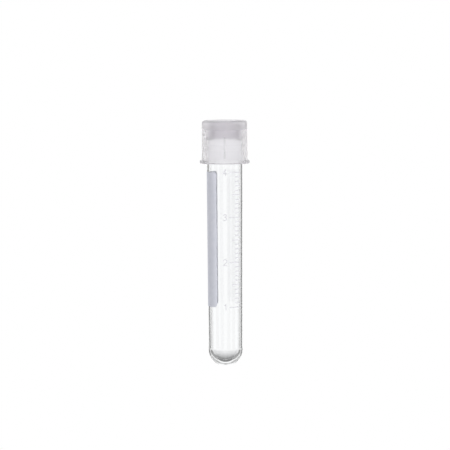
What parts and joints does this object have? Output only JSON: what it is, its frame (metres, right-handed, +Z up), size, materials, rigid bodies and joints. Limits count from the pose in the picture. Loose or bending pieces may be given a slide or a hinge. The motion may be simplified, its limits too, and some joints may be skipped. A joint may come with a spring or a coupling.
{
  "type": "capped culture tube",
  "caption": "Clear round-bottom tube with a printed writing patch and millilitre scale, closed by a translucent flanged snap cap that slides between vented and shut.",
  "frame": {"origin": "outside tip of the round bottom, on the tube's axis", "axes": "+Z up the tube's axis towards the cap; -Y is the front, where the numerals face; +X is the side that the graduation marks run towards, and the writing patch is on -X"},
  "size_m": [0.0164, 0.0164, 0.0812],
  "materials": {
    "tube_plastic": "clear polished moulded polystyrene",
    "cap_plastic": "translucent satin moulded polyethylene",
    "patch_ink": "matt white writing ink",
    "mark_ink": "matt pale grey printed ink"
  },
  "bodies": {
    "tube": {"tube": "tube_plastic", "writing_patch": "patch_ink", "mark_1_0_ml": "mark_ink", "mark_1_1_ml": "mark_ink", "mark_1_2_ml": "mark_ink", "mark_1_3_ml": "mark_ink", "mark_1_4_ml": "mark_ink", "mark_1_5_ml": "mark_ink", "mark_1_6_ml": "mark_ink", "mark_1_7_ml": "mark_ink", "mark_1_8_ml": "mark_ink", "mark_1_9_ml": "mark_ink", "mark_2_0_ml": "mark_ink", "mark_2_1_ml": "mark_ink", "mark_2_2_ml": "mark_ink", "mark_2_3_ml": "mark_ink", "mark_2_4_ml": "mark_ink", "mark_2_5_ml": "mark_ink", "mark_2_6_ml": "mark_ink", "mark_2_7_ml": "mark_ink", "mark_2_8_ml": "mark_ink", "mark_2_9_ml": "mark_ink", "mark_3_0_ml": "mark_ink", "mark_3_1_ml": "mark_ink", "mark_3_2_ml": "mark_ink", "mark_3_3_ml": "mark_ink", "mark_3_4_ml": "mark_ink", "mark_3_5_ml": "mark_ink", "mark_3_6_ml": "mark_ink", "mark_3_7_ml": "mark_ink", "mark_3_8_ml": "mark_ink", "mark_3_9_ml": "mark_ink", "mark_4_0_ml": "mark_ink", "numeral_1": "mark_ink", "numeral_2": "mark_ink", "numeral_3": "mark_ink", "numeral_4": "mark_ink"},
    "cap": {"cap": "cap_plastic"}
  },
  "joints": [
    {"name": "cap_slide", "type": "slide", "parent": "tube", "child": "cap", "axis": [0, 0, 1], "range_m": [-0.0031, 0.02]}
  ]
}
